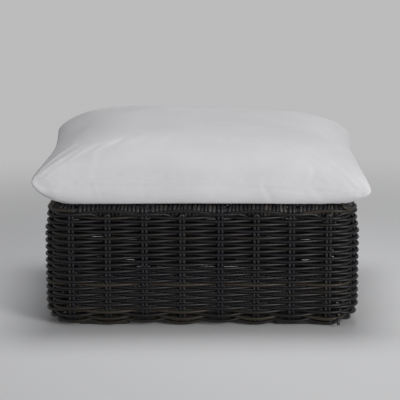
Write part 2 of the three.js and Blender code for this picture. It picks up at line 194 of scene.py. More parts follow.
base = {
    "width": 0.716,
    "depth": 0.610,
    "cornerRadius": 0.064,
    "wallInset": 0.013317,  # from the outermost strand to the middle line of the wall
    "pairPitch": 0.084,
    "pairGap": 0.0084,
    # how far each front pair stands off its even place
    "frontDrift": (-0.0048, -0.0056, -0.006, -0.0041, -0.0008, -0.0027, -0.006, -0.0064),
    "stakeRadius": 0.0035,
    "weaverRadius": 0.0039,
    "curlRadius": 0.040,  # of the wall's turn under at its foot
    "curlTop": 0.0463,
    "curlAngle": 1.4428,
    "bottomGirth": -0.0392,
    "topGirth": 0.2037,
    "rimFade": 0.03,  # how far below the top row the wall's unevenness grows to its full size
    "endSwell": 0.0050,
    "topRailHeight": 0.2702,
    "topRailInset": 0.0133,
    "topRailRadius": 0.0095,
    "bottomRailHeight": 0.0183,
    "bottomRailInset": 0.0364,
    "bottomRailRadius": 0.008,
}

lineX = base["width"] / 2 - base["wallInset"]
lineY = base["depth"] / 2 - base["wallInset"]
lineRadius = base["cornerRadius"] - base["wallInset"]
wallSides = [
    (Vector((0, -1, 0)), lineY, lineX - lineRadius),
    (Vector((1, 0, 0)), lineX, lineY - lineRadius),
    (Vector((0, 1, 0)), lineY, lineX - lineRadius),
    (Vector((-1, 0, 0)), lineX, lineY - lineRadius),
]


def ringLength(inset=0.0):
    return sum(2 * run + quarterTurn * (lineRadius - inset) for _, _, run in wallSides)


# A place on a ring round the base and the way out from it, at a distance to the right of the front left pair
def ringPlace(distance, inset=0.0):
    radius = lineRadius - inset
    arc = quarterTurn * radius
    left = distance % ringLength(inset)
    for out, half, run in wallSides:
        along = up.cross(out)
        if left <= 2 * run:
            return out * (half - inset) + along * (left - run), out
        left -= 2 * run
        if left <= arc:
            turned = out * math.cos(left / radius) + along * math.sin(left / radius)
            return out * (half - lineRadius) + along * run + turned * radius, turned
        left -= arc
    return ringPlace(0, inset)


# The distance on an inner ring that lies square inside a distance on the wall's middle line
def innerDistance(distance, inset):
    laps, left = divmod(distance, ringLength())
    inner = laps * ringLength(inset)
    for _, _, run in wallSides:
        if left <= 2 * run:
            return inner + left
        left -= 2 * run
        inner += 2 * run
        arc = quarterTurn * lineRadius
        if left <= arc:
            return inner + left * (lineRadius - inset) / lineRadius
        left -= arc
        inner += quarterTurn * (lineRadius - inset)
    return inner


pairDistances = []
pairAtCorner = []
start = 0.0
for _, _, run in wallSides:
    gaps = round(2 * run / base["pairPitch"])
    for i in range(gaps + 1):
        pairDistances.append(start + 2 * run * i / gaps)
        pairAtCorner.append(i in (0, gaps))
    start += 2 * run + quarterTurn * lineRadius
for i, drift in enumerate(base["frontDrift"]):
    pairDistances[i] += drift
pairCount = len(pairDistances)


# Every other pair folds over the top rail; the ones between are tucked under its wrap
def foldsOver(index):
    return index % 2 == 0


# Distance on the wall's middle line for a count of pairs passed, whole or not
def distanceAt(passed):
    laps, rest = divmod(passed, pairCount)
    index = int(rest)
    here = pairDistances[index]
    following = pairDistances[index + 1] if index + 1 < pairCount else pairDistances[0] + ringLength()
    return laps * ringLength() + here + (following - here) * (rest - index)


# 0 at the top row and 1 from a little below it; girth is the height up the wall from the top of its curl
def belowRim(girth):
    return smoothStep((base["topGirth"] - girth) / base["rimFade"])


# The two short ends of the wall belly out below the rim and draw in again where they curl under
def endSwell(out, girth):
    curlLength = base["curlRadius"] * base["curlAngle"]
    share = belowRim(girth) * smoothStep((girth + curlLength) / curlLength)
    return Vector((out.x * base["endSwell"] * share, 0, 0))


# A point beside the wall's middle line
def wallPoint(distance, girth, swing):
    point, out = ringPlace(distance)
    point = point + endSwell(out, girth)
    if girth >= 0:
        return point + out * swing + up * (base["curlTop"] + girth)
    angle = -girth / base["curlRadius"]
    reach = base["curlRadius"] + swing
    inset = base["curlRadius"] - reach * math.cos(angle)
    return point - out * inset + up * (base["curlTop"] - reach * math.sin(angle))


# Weaving strands

weave = {
    # name, pair it starts from, pair the other one starts from, whether it passes outside the odd pairs
    "strands": (("weaver_first", 11, 26, 0), ("weaver_second", 26, 11, 1)),
    "rowCount": 32,
    "bandCount": 4,
    "climbPairs": 2,
    "endGap": 0.02,  # pairs
    "samplesPerPair": 9,
    "flatness": 0.2,
    "swing": 0.0076,
    "cornerSwell": 0.0006,
    "footFade": 0.03,
    # how often along the row, how often up the wall, seed, size
    "wander": ((5.0, 4.0, 1.7, 0.0009), (13.0, 9.0, 7.1, 0.0005)),
    "backSag": 0.0010,
    "frontTilt": 0.0004,
    "backTilt": 0.0014,
    "backTiltFrom": 0.18,
    "backTiltRun": 0.08,
    "sightSlope": 0.235,
}
rowPitch = (base["topGirth"] - base["bottomGirth"]) / (weave["rowCount"] - 1)
turnCount = weave["rowCount"] // 2


# Slow unevenness of hand-laid rows, in metres: neighbouring rows move together and never cross
def rowWander(distance, girth):
    wander = sum(size * noise.noise(Vector((distance * along, girth * above, seed)))
                 for along, above, seed, size in weave["wander"])
    point, _ = ringPlace(distance)
    return wander - weave["backSag"] * smoothStep(point.y / lineY + 0.5) * belowRim(girth)


# Each strand rides a little higher where it passes outside. Low on the back it lies along the line of sight
# instead, so that the back's gaps stay shut from the front
def rowTilt(distance, girth, swing):
    point, _ = ringPlace(distance)
    low = smoothStep((weave["backTiltFrom"] - girth) / weave["backTiltRun"])
    back = smoothStep(point.y / lineY * 4 - 3) * low
    angle = max(-girth, 0) / base["curlRadius"]
    slope = weave["sightSlope"] * math.cos(angle) - math.sin(angle)
    along = max(min(weave["swing"] * slope, weave["backTilt"]), -weave["backTilt"])
    return (weave["frontTilt"] * (1 - back) - along * back) * swing / weave["swing"]


# How many row pitches a strand has climbed when it has passed so many pairs
def rowsClimbed(startPair, otherPair, passed):
    turns, since = divmod(passed, pairCount)
    toOther = (otherPair - startPair) % pairCount
    half = smoothStep((since - toOther) / weave["climbPairs"] + 1)
    home = smoothStep((since - pairCount) / weave["climbPairs"] + 1)
    return 2 * turns + half + home


# Between a cosine and a wave with flatter crests
def swingShape(share):
    plain = math.cos(math.pi * share)
    square = math.sin(quarterTurn * plain)
    return plain + (square - plain) * weave["flatness"]


# How far out a strand lies when it has passed so many pairs, outside the even pairs or the odd ones
def swingAt(passed, outside):
    index = int(passed // 1)
    share = passed - index
    sign = 1 if index % 2 == outside else -1
    swell = 0.0
    for step, nearness in ((0, 1 - share), (1, share)):
        if pairAtCorner[(index + step) % pairCount]:
            swell += weave["cornerSwell"] * nearness
    return sign * weave["swing"] * swingShape(share) + swell


def weaverPath(startPair, otherPair, outside, first, last):
    points = []
    count = int((last - first) * weave["samplesPerPair"])
    for i in range(count + 1):
        passed = first + (last - first) * i / count
        girth = base["bottomGirth"] + rowPitch * rowsClimbed(startPair, otherPair, passed)
        distance = distanceAt(startPair + passed)
        swing = swingAt(startPair + passed, outside)
        fade = smoothStep((girth - base["bottomGirth"]) / weave["footFade"])
        shift = rowWander(distance % ringLength(), girth) * fade + rowTilt(distance, girth, swing)
        points.append(wallPoint(distance, girth + shift, swing))
    return {"points": points}


def buildWeavers(material):
    for name, startPair, otherPair, outside in weave["strands"]:
        for band in range(weave["bandCount"]):
            first = pairCount * round(turnCount * band / weave["bandCount"])
            last = pairCount * round(turnCount * (band + 1) / weave["bandCount"])
            if band == weave["bandCount"] - 1:
                last -= weave["climbPairs"]
            path = weaverPath(startPair, otherPair, outside, first + weave["endGap"], last - weave["endGap"])
            node = f"{name}_{band + 1}"
            piece = sweepStrands(node + "_resin", [path], base["weaverRadius"])
            fitPiece(piece, "root", material, node)


# Stakes

stakes = {
    "foldStart": 0.2675,
    "foldRadius": 0.0131,
    "hairpinDrop": 0.007,
    "tuckedHeight": 0.2655,
    "tuckedLean": 0.0052,
    "leanTop": 0.258,
    "leanStart": 0.244,
    "tailRadius": 0.0118,  # of the turn under the bottom rail
    "tailAngle": math.pi * 0.62,
    "wobble": 0.0006,
    "toneReach": 0.6,
    # the pair with a tail end that shows, how far that lies to its right, and how far out, up to and down to
    "strayPair": 7,
    "strayAside": 0.024,
    "strayOut": 0.005,
    "strayTop": 0.0225,
    "strayFoot": 0.0060,
    "strayRound": 0.0015,
}


# One upright of a pair, from its tail under the bottom rail to its head
def stakeSide(distance, aside, over, index):
    spot, out = ringPlace(distance)
    along = up.cross(out)
    points = []

    def add(inset, height, girth=base["topGirth"]):
        sway = stakes["wobble"] * noise.noise(Vector((height * 14.0, index * 3.3, aside * 900.0)))
        points.append(spot + endSwell(out, girth) + along * (aside + sway) - out * inset + up * height)

    for i in range(4):
        angle = stakes["tailAngle"] - (stakes["tailAngle"] - base["curlAngle"]) * i / 3
        add(base["bottomRailInset"] - stakes["tailRadius"] * math.cos(angle),
            base["bottomRailHeight"] - stakes["tailRadius"] * math.sin(angle))
    for i in range(9, -1, -1):
        angle = base["curlAngle"] * i / 9
        add(base["curlRadius"] * (1 - math.cos(angle)),
            base["curlTop"] - base["curlRadius"] * math.sin(angle),
            -base["curlRadius"] * angle)
    if over:
        for i in range(1, 15):
            girth = (stakes["foldStart"] - base["curlTop"]) * i / 14
            add(0.0, base["curlTop"] + girth, girth)
        for i in range(11):
            angle = math.pi * i / 10
            add(base["topRailInset"] - stakes["foldRadius"] * math.cos(angle),
                base["topRailHeight"] + stakes["foldRadius"] * math.sin(angle))
    else:
        top = stakes["tuckedHeight"] - base["pairGap"] / 2
        for i in range(1, 17):
            girth = (top - base["curlTop"]) * i / 16
            height = base["curlTop"] + girth
            lean = smoothStep((height - stakes["leanStart"]) / (stakes["leanTop"] - stakes["leanStart"]))
            add(-stakes["tuckedLean"] * lean, height, girth)
    return points


# Both uprights of a pair, and the hairpin bend that joins their heads
def stakePath(index):
    distance = pairDistances[index]
    over = foldsOver(index)
    half = base["pairGap"] / 2
    left = stakeSide(distance, -half, over, index)
    right = stakeSide(distance, half, over, index)
    spot, out = ringPlace(distance)
    along = up.cross(out)
    inset = base["topRailInset"] + stakes["foldRadius"] if over else -stakes["tuckedLean"]
    height = base["topRailHeight"] - stakes["hairpinDrop"] if over else stakes["tuckedHeight"] - half
    rise = -half if over else half
    bend = []
    for i in range(1, 6):
        angle = math.pi * i / 6
        top = height + rise * math.sin(angle)
        bend.append(spot - along * (math.cos(angle) * half) - out * inset + up * top)
    return {"points": left + bend + right[::-1]}


# The cut end of a tail that pokes out at the foot, beside the front right corner
def strayTail():
    spot, out = ringPlace(pairDistances[stakes["strayPair"]] + stakes["strayAside"])
    heights = (stakes["strayTop"], stakes["strayFoot"] + stakes["strayRound"], stakes["strayFoot"])
    return {"points": [spot + out * stakes["strayOut"] + up * height for height in heights], "evenTone": 1.0}


def buildStakes(material):
    for index in range(pairCount):
        node = f"stake_pair_{index + 1:02d}"
        paths = [stakePath(index)]
        if index == stakes["strayPair"]:
            paths.append(strayTail())
        piece = sweepStrands(node + "_resin", paths, base["stakeRadius"], toneReach=stakes["toneReach"])
        fitPiece(piece, "root", material, node)


# Rim: the wrapped rail, the two rows under it and the short lengths between them

rim = {
    "wrapPitch": 0.0091,
    "wrapHalfWidth": 0.0041,
    "wrapHalfThickness": 0.0030,
    "wrapInner": 0.0097,
    "slotHalf": 0.0086,  # half the opening that a folded pair passes through
    "turnSteps": 18,
    "profileSides": 8,
    "lean": 0.0028,
    "swell": 0.05,
    # height outside, which pairs it passes outside, height inside, how much less it swings inside
    "lowerRow": (0.2579, 1, 0.2585, 0.15),
    "upperRow": (0.2663, 0, 0.2572, 0.3),
    "rowSamples": 10,
    "lowerToneReach": 0.5,
    "upperToneReach": 0.35,
    "archInset": 0.0125,
    "archFoot": 0.2660,
    "archRise": 0.0076,
    "archRiseSpread": (-0.0006, 0.0012),
    "archSwing": (-0.0005, 0.0068),
    "looseReach": 0.0206,
    "looseLength": 0.062,
    "looseStart": 0.010,
    "looseAngles": (14, 44),
    "looseShade": 3.0,
}


# A spring of strand wound straight with spin, then bent round the top rail, one for each stretch between openings
def buildRimWrap(material):
    wound = bmesh.new()
    middle = rim["wrapInner"] + rim["wrapHalfThickness"]
    overs = [i for i in range(pairCount) if foldsOver(i)]
    for k, index in enumerate(overs):
        following = overs[(k + 1) % len(overs)]
        begin = innerDistance(pairDistances[index], base["topRailInset"]) + rim["slotHalf"]
        end = innerDistance(pairDistances[following], base["topRailInset"]) - rim["slotHalf"]
        if following < index:
            end += ringLength(base["topRailInset"])
        room = end - begin - 2 * rim["wrapHalfWidth"]
        turns = round(room / rim["wrapPitch"])
        steps = turns * rim["turnSteps"]
        bm = bmesh.new()
        toneLayer = bm.verts.layers.float.new("tone")
        circle = bmesh.ops.create_circle(bm, segments=rim["profileSides"], radius=1.0)["verts"]
        for vert in circle:
            vert.co = Vector((vert.co.x * rim["wrapHalfWidth"], 0, middle + vert.co.y * rim["wrapHalfThickness"]))
        bmesh.ops.spin(
            bm,
            geom=bm.verts[:] + bm.edges[:],
            cent=(0, 0, 0),
            axis=(1, 0, 0),
            dvec=(room / steps, 0, 0),
            angle=2 * math.pi * turns,
            steps=steps,
            use_merge=False,
            use_duplicate=False,
        )
        seed = dice.uniform(0, 50)
        for vert in bm.verts:
            along = vert.co.x
            turn = along / rim["wrapPitch"]
            lean = rim["lean"] * noise.noise(Vector((turn * 0.37, seed, 0)))
            swell = 1 + rim["swell"] * noise.noise(Vector((turn * 0.9, seed, 4.0)))
            distance = begin + rim["wrapHalfWidth"] + along + lean * vert.co.z / middle * 2
            spot, out = ringPlace(distance, base["topRailInset"])
            vert[toneLayer] = 0.42 + 0.7 * noise.noise(Vector((turn * 0.55, seed, 9.0)))
            height = base["topRailHeight"] + vert.co.z * swell
            vert.co = spot + out * vert.co.y * swell + up * height
        bmesh.ops.holes_fill(bm, edges=[e for e in bm.edges if e.is_boundary], sides=0)
        bmesh.ops.recalc_face_normals(bm, faces=bm.faces)
        stretch = meshFromBmesh("stretch", bm)
        wound.from_mesh(stretch)
        bpy.data.meshes.remove(stretch)
    piece = linkObject("rim_wrap_turns", meshFromBmesh("rim_wrap_turns", wound))
    fitPiece(piece, "root", material, "rim_wrap")


# A closed row that dips where it passes behind a pair
def rimRow(height, outside, dipTo, pull):
    points = []
    for i in range(pairCount * rim["rowSamples"]):
        passed = i / rim["rowSamples"]
        swing = swingAt(passed, outside)
        inward = smoothStep(-swing / weave["swing"])
        point, out = ringPlace(distanceAt(passed))
        points.append(point + out * (swing * (1 - inward * pull)) + up * (height + (dipTo - height) * inward))
    return {"points": points, "closed": True}


# Short lengths that bow up and over the head of each tucked pair and end inside the wrap's openings
def rimArches():
    paths = []
    deep, proud = rim["archSwing"]
    for index in range(1, pairCount, 2):
        before = distanceAt(index - 1) + rim["archInset"]
        after = distanceAt(index + 1) - rim["archInset"]
        rise = rim["archRise"] + dice.uniform(*rim["archRiseSpread"])
        points = []
        for i in range(21):
            bow = math.sin(math.pi * i / 20)
            point, out = ringPlace(before + (after - before) * i / 20)
            points.append(point + out * (deep + proud * bow ** 0.55) + up * (rim["archFoot"] + rise * bow ** 0.9))
        paths.append({"points": points})
    return paths


# At each corner one loose end runs on past its folded pair and climbs the wrap
def looseEnds():
    paths = []
    lowest, climb = rim["looseAngles"]
    for index in range(pairCount):
        if not (pairAtCorner[index] and foldsOver(index)):
            continue
        towards = 1 if pairAtCorner[(index + 1) % pairCount] else -1
        points = []
        for i in range(21):
            angle = math.radians(lowest + climb * smoothStep((i - 11) / 9))
            past = rim["looseLength"] * min(i / 15, 1) - rim["looseStart"]
            point, out = ringPlace(pairDistances[index] + towards * past)
            outward = rim["looseReach"] * math.cos(angle) - base["topRailInset"]
            height = base["topRailHeight"] + rim["looseReach"] * math.sin(angle)
            points.append(point + out * outward + up * height)
        paths.append({"points": points, "shade": rim["looseShade"]})
    return paths


def buildRimRows(material):
    rows = {
        "lower": [rimRow(*rim["lowerRow"])],
        "upper": [rimRow(*rim["upperRow"])] + rimArches() + looseEnds(),
    }
    for place, paths in rows.items():
        node = "rim_cord_" + place
        piece = sweepStrands(node + "_resin", paths, base["weaverRadius"], toneReach=rim[place + "ToneReach"])
        fitPiece(piece, "root", material, node)


# Tube frame

tubeFrame = {
    "railSamples": 440,
    "sides": 16,
    "postRadius": 0.008,
    "crossBarRadius": 0.008,
    "crossBarX": 0.17234,
    "crossBarHalf": 0.2613,
}


def buildTube(material, node, points, radius, closed=False):
    piece = sweepStrands(node + "_tube", [{"points": points, "closed": closed}], radius, tubeFrame["sides"])
    fitPiece(piece, "root", material, node)


def buildFrame(material):
    count = tubeFrame["railSamples"]
    for side in ("top", "bottom"):
        inset = base[side + "RailInset"]
        places = [ringPlace(ringLength(inset) * i / count, inset)[0] for i in range(count)]
        points = [place + up * base[side + "RailHeight"] for place in places]
        buildTube(material, side + "_rail", points, base[side + "RailRadius"], closed=True)

    radius = tubeFrame["postRadius"]
    for corner, signX, signY in (("front_right", 1, -1), ("back_right", 1, 1),
                                 ("back_left", -1, 1), ("front_left", -1, -1)):
        node = "corner_post_" + corner
        low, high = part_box(node)
        footX, headX = (low.x, high.x) if signX > 0 else (high.x, low.x)
        footY, headY = (low.y, high.y) if signY > 0 else (high.y, low.y)
        foot = Vector((footX + signX * radius, footY + signY * radius, low.z))
        head = Vector((headX - signX * radius, headY - signY * radius, high.z))
        buildTube(material, node, [foot.lerp(head, i / 6) for i in range(7)], radius)

    for side, sign in (("left", -1), ("right", 1)):
        x = sign * tubeFrame["crossBarX"]
        points = [Vector((x, tubeFrame["crossBarHalf"] * (i / 4 - 1), base["topRailHeight"])) for i in range(9)]
        buildTube(material, "cross_bar_" + side, points, tubeFrame["crossBarRadius"])


# Seat deck of interlaced webbing

deck = {
    "strapWidth": 0.048,
    "thickness": 0.0012,
    "halfX": 0.3150,
    "halfY": 0.2620,
    "height": 0.2800,
    "columns": 6,
    "rows": 5,
    "lift": 0.0007,
    "samples": 60,
    "samplesAcross": 4,
    "flatReach": 1.35,  # in half strap widths
    "flatFall": 0.9,
}


# A flat strap made from a grid, lifted over and under the straps it crosses, then given its thickness
def strap(bm, middle, alongX, phase, crossings):
    half = deck["halfX"] if alongX else deck["halfY"]
    halfWidth = deck["strapWidth"] / 2
    made = bmesh.ops.create_grid(bm, x_segments=deck["samples"], y_segments=deck["samplesAcross"], size=1.0)
    for vert in made["verts"]:
        along = vert.co.x * half
        across = vert.co.y * halfWidth
        lift = 0.0
        for k, place in enumerate(crossings):
            nearness = smoothStep(deck["flatReach"] - abs(along - place) / halfWidth * deck["flatFall"])
            lift += nearness * (1 if (k + phase) % 2 else -1)
        z = deck["height"] + deck["lift"] * max(min(lift, 1), -1)
        vert.co = Vector((along, middle + across, z)) if alongX else Vector((middle + across, along, z))


def buildDeck(material):
    bm = bmesh.new()
    spanX = 2 * (deck["halfX"] - deck["strapWidth"] / 2)
    spanY = 2 * (deck["halfY"] - deck["strapWidth"] / 2)
    xs = [spanX * (i / (deck["columns"] - 1) - 0.5) for i in range(deck["columns"])]
    ys = [spanY * (i / (deck["rows"] - 1) - 0.5) for i in range(deck["rows"])]
    for i, y in enumerate(ys):
        strap(bm, y, True, i % 2, xs)
    for i, x in enumerate(xs):
        strap(bm, x, False, (i + 1) % 2, ys)
    bmesh.ops.recalc_face_normals(bm, faces=bm.faces)
    bmesh.ops.solidify(bm, geom=bm.faces[:], thickness=deck["thickness"])
    bmesh.ops.recalc_face_normals(bm, faces=bm.faces)
    piece = linkObject("seat_deck_straps", meshFromBmesh("seat_deck_straps", bm))
    fitPiece(piece, "root", material, "seat_deck")


# Glides

glide = {
    "edge": 0.0022,
    "edgeSteps": 3,
    "cornerRadius": 0.0088,
    "cornerSteps": 6,
    "channelWidth": 0.0166,
    "channelFloor": 0.0024,
    "cutAbove": 0.004,
}


def boxForm(middle, size):
    bm = bmesh.new()
    bmesh.ops.create_cube(bm, size=1.0, matrix=Matrix.Translation(middle) @ Matrix.Diagonal((*size, 1)))
    return bm


def roundEdges(bm, edges, radius, steps):
    bmesh.ops.bevel(bm, geom=edges, offset=radius, offset_type="OFFSET", segments=steps,
                    profile=0.5, affect="EDGES", material=-1)


def edgeRise(edge):
    return abs(edge.verts[0].co.z - edge.verts[1].co.z)


def buildGlides(material):
    for corner in ("front_right", "back_right", "back_left", "front_left"):
        node = "foot_" + corner
        low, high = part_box(node)
        middle = (low + high) / 2
        size = high - low
        bm = boxForm(middle, size)
        roundEdges(bm, [e for e in bm.edges if edgeRise(e) > 0.001], glide["cornerRadius"], glide["cornerSteps"])
        roundEdges(bm, [e for e in bm.edges if edgeRise(e) < 0.0001], glide["edge"], glide["edgeSteps"])
        bmesh.ops.recalc_face_normals(bm, faces=bm.faces)
        piece = linkObject(node + "_pad", meshFromBmesh(node + "_pad", bm))
        # the channel that the stake tails pass through
        channelX = min((ringPlace(d)[0].x for d in pairDistances), key=lambda x: abs(x - middle.x))
        channelTop = high.z + glide["cutAbove"]
        channelFoot = low.z + glide["channelFloor"]
        cutter = boxForm(Vector((channelX, middle.y, (channelTop + channelFoot) / 2)),
                         (glide["channelWidth"], size.y * 2, channelTop - channelFoot))
        cutterPiece = linkObject(node + "_cutter", meshFromBmesh(node + "_cutter", cutter))
        cut = piece.modifiers.new("channel", "BOOLEAN")
        cut.operation = "DIFFERENCE"
        cut.solver = "EXACT"
        cut.object = cutterPiece
        bakedCopy(piece)
        for face in piece.data.polygons:
            face.use_smooth = False
        bpy.data.objects.remove(cutterPiece)
        fitPiece(piece, "root", material, node)


# Cushion

cushion = {
    "width": 0.764,
    "depth": 0.664,
    "seamHeight": 0.344,
    "seamTilt": -0.0058,
    "bottom": 0.2872,
    "crown": 0.1005,
    "crownTilt": -0.022,
    "pullFront": 0.0234,
    "pullLeft": 0.0217,
    "pullRight": 0.0138,
    "pullSteepness": 0.66,
    "crownSquareness": 3.67,
    "crownSteepness": 1.93,
    "bellySquareness": 3.64,
    "bellySteepness": 2.43,
    "bellyFullness": 1.83,
    "cornerFullness": 0.58,
    "earReach": 2.55,
    "tipBlunt": 0.006,
    "tipReach": 14,
    # side, front or back, how far the ear leans out to the right, and how far up
    "ears": ((-1, -1, -0.0105, -0.0010), (1, -1, 0.0050, -0.0138),
             (-1, 1, 0.0046, 0.0054), (1, 1, 0.0069, 0.0074)),
    "columns": 84,
    "rows": 74,
    "seamWeld": 0.0002,
    "voxel": 0.0062,
    "seamBand": 0.0035,
    "frames": 20,
    "cap": 0.006,  # the furthest that the simulation moves a point
    "kept": 0.4,  # how much of that move is kept
    "fill": 0.85,
}

clothSettings = {
    "quality": 5,
    "mass": 0.3,
    "tension_stiffness": 10,
    "compression_stiffness": 6,
    "shear_stiffness": 3,
    "bending_stiffness": 0.3,
    "shrink_min": -0.008,
    "use_pressure": True,
    "uniform_pressure_force": 4.0,
    "vertex_group_mass": "seam",
}


# How much of its corner's ear a point takes on
def earWeight(side, end, u, v):
    return (max(side * u, 0) * max(end * v, 0)) ** cushion["earReach"]


# A point of the seam, or level with it inside; u runs from -1 on the left to 1, v from -1 at the front to 1
def seamPlace(u, v):
    pull = cushion["pullLeft"] if u < 0 else cushion["pullRight"]
    steepness = cushion["pullSteepness"]
    x = u * (cushion["width"] / 2 - pull * max(1 - v * v, 0) ** steepness)
    y = v * (cushion["depth"] / 2 - cushion["pullFront"] * max(1 - u * u, 0) ** steepness)
    z = cushion["seamHeight"] + cushion["seamTilt"] * u
    blunt = cushion["tipBlunt"] * abs(u * v) ** cushion["tipReach"]
    x -= math.copysign(blunt, u)
    y -= math.copysign(blunt, v)
    for side, end, shift, rise in cushion["ears"]:
        weight = earWeight(side, end, u, v)
        x += weight * shift
        z += weight * rise
    return Vector((x, y, z))


# How full the cover stands between its middle, 1, and its seam, 0
def fullness(u, v, squareness, steepness):
    a = 1 - abs(u) ** squareness
    b = 1 - abs(v) ** squareness
    gentle = cushion["cornerFullness"]
    rise = a * b / max(1 - gentle + gentle * (a + b - a * b), 0.0001)
    return max(rise, 0) ** (1 / steepness)


def cushionPoint(u, v, above):
    place = seamPlace(u, v)
    if above:
        full = fullness(u, v, cushion["crownSquareness"], cushion["crownSteepness"])
        place.z += cushion["crown"] * (1 + cushion["crownTilt"] * u) * full
    else:
        full = fullness(u, v, cushion["bellySquareness"], cushion["bellySteepness"])
        place.z -= (place.z - cushion["bottom"]) * min(cushion["bellyFullness"] * full, 1)
    return place


# The upper and lower cover, welded along the seam
def cushionForm():
    bm = bmesh.new()
    for above in (True, False):
        grid = bmesh.ops.create_grid(bm, x_segments=cushion["columns"], y_segments=cushion["rows"], size=1.0)
        made = grid["verts"]
        if not above:
            bmesh.ops.reverse_faces(bm, faces=list({face for vert in made for face in vert.link_faces}))
        for vert in made:
            u, v = (math.sin(quarterTurn * share) for share in (vert.co.x, vert.co.y))
            vert.co = cushionPoint(u, v, above)
    bmesh.ops.remove_doubles(bm, verts=bm.verts, dist=cushion["seamWeld"])
    return bm


# Height of the edge seam beside a point of the cover
def seamHeightBeside(point):
    u = max(min(point.x / (cushion["width"] / 2), 1), -1)
    v = max(min(point.y / (cushion["depth"] / 2), 1), -1)
    return seamPlace(u, v).z


# Blow the cover up as cloth with its seam held, and keep part of the move
def swellCushion(piece):
    remesh = piece.modifiers.new("evenCloth", "REMESH")
    remesh.mode = "VOXEL"
    remesh.voxel_size = cushion["voxel"]
    bakedCopy(piece)
    rest = [vert.co.copy() for vert in piece.data.vertices]
    group = piece.vertex_groups.new(name="seam")
    onSeam = [i for i, co in enumerate(rest) if abs(co.z - seamHeightBeside(co)) < cushion["seamBand"]]
    group.add(onSeam, 1.0, "REPLACE")
    cloth = piece.modifiers.new("swell", "CLOTH")
    for name, value in clothSettings.items():
        setattr(cloth.settings, name, value)
    cloth.settings.effector_weights.gravity = 0
    cloth.collision_settings.use_collision = False
    for step in range(1, cushion["frames"] + 1):
        bpy.context.scene.frame_set(step)
    bakedCopy(piece)
    for vert, before in zip(piece.data.vertices, rest):
        move = vert.co - before
        if move.length > cushion["cap"]:
            move *= cushion["cap"] / move.length
        vert.co = before + move * cushion["kept"]
    bpy.context.scene.frame_set(1)
    piece.vertex_groups.clear()


# Sewn edge and the folds that run from it: start and end on the front as (x, z), depth and half width
creases = {
    "seamDepth": 0.0008,
    "seamHalfWidth": 0.0024,
    "fade": 0.3,  # how far a fold runs on past its ends, in its own lengths
    "fadeRun": 0.5,
    "ridge": 0.45,
    "ridgeShift": 1.5,  # in half widths
    "widest": 3,
    "frontBefore": -0.2,
    "front": (
        ((-0.311, 0.397), (-0.309, 0.352), 0.0003, 0.0095),
        ((-0.231, 0.402), (-0.243, 0.350), 0.0006, 0.0095),
        ((-0.086, 0.367), (-0.083, 0.347), 0.0003, 0.0081),
        ((0.240, 0.392), (0.255, 0.366), 0.0006, 0.0081),
        ((0.255, 0.368), (0.243, 0.345), 0.0007, 0.0081),
        ((-0.308, 0.344), (-0.326, 0.310), 0.0006, 0.0081),
        ((-0.257, 0.342), (-0.245, 0.308), 0.0004, 0.0081),
        ((-0.233, 0.334), (-0.226, 0.308), 0.0005, 0.0068),
        ((-0.139, 0.340), (-0.127, 0.308), 0.0004, 0.0081),
        ((0.014, 0.336), (0.030, 0.308), 0.0003, 0.0081),
        ((0.137, 0.341), (0.158, 0.298), 0.0008, 0.0081),
        ((0.243, 0.336), (0.273, 0.305), 0.0007, 0.0081),
        ((-0.380, 0.352), (-0.352, 0.334), 0.0012, 0.0095),
        ((-0.352, 0.336), (-0.344, 0.312), 0.0005, 0.0081),
        ((0.334, 0.336), (0.362, 0.324), 0.0011, 0.0095),
        ((0.362, 0.332), (0.376, 0.322), 0.0007, 0.0068),
    ),
}


# Signed fold: a valley with a low ridge on one side, fading towards both ends
def foldDepth(x, z, first, last, depth, halfWidth):
    start = Vector(first)
    line = Vector(last) - start
    share = (Vector((x, z)) - start).dot(line) / line.length_squared
    fade = creases["fade"]
    if share < -fade or share > 1 + fade:
        return 0.0
    across = ((x - start.x) * line.y - (z - start.y) * line.x) / line.length / halfWidth
    if abs(across) > creases["widest"]:
        return 0.0
    ends = smoothStep((share + fade) / creases["fadeRun"]) * smoothStep((1 + fade - share) / creases["fadeRun"])
    ridge = creases["ridge"] * math.exp(-(across - creases["ridgeShift"]) ** 2)
    return depth * ends * (math.exp(-across * across) - ridge)


def creaseCushion(bm):
    bm.normal_update()
    moves = []
    for vert in bm.verts:
        x, y, z = vert.co
        nearSeam = (z - seamHeightBeside(vert.co)) / creases["seamHalfWidth"]
        sink = creases["seamDepth"] * math.exp(-nearSeam * nearSeam)
        if y < creases["frontBefore"]:
            for first, last, depth, halfWidth in creases["front"]:
                sink += foldDepth(x, z, first, last, depth, halfWidth)
        moves.append((vert, vert.normal * -sink))
    for vert, move in moves:
        vert.co += move


def buildCushion(material):
    piece = linkObject("cushion_cover", meshFromBmesh("cushion_cover", cushionForm()))
    swellCushion(piece)
    bm = bmesh.new()
    bm.from_mesh(piece.data)
    bmesh.ops.subdivide_edges(bm, edges=bm.edges, cuts=1, use_grid_fill=True, smooth=1.0)
    for vert in bm.verts:
        vert.co.z = max(vert.co.z, cushion["bottom"])
    creaseCushion(bm)
    bmesh.ops.recalc_face_normals(bm, faces=bm.faces)
    for face in bm.faces:
        face.smooth = True
    bm.to_mesh(piece.data)
    bm.free()
    fitPiece(piece, "cushion", material, "cushion")


# Finishes

# A noise or wave texture in the object's own metres
def addTexture(tree, kind, **settings):
    coords = addNode(tree, "ShaderNodeTexCoord")
    texture = addNode(tree, "ShaderNodeTex" + kind, settings, {"Vector": coords.outputs["Object"]})
    return texture.outputs["Fac"]


def addRamp(tree, stops, source):
    colours = addNode(tree, "ShaderNodeValToRGB", {}, {"Fac": source})
    setRamp(colours, stops)
    return colours.outputs["Color"]


def addBump(tree, strength, distance, source):
    bump = addNode(tree, "ShaderNodeBump", {"Strength": strength, "Distance": distance}, {"Height": source})
    return bump.outputs["Normal"]


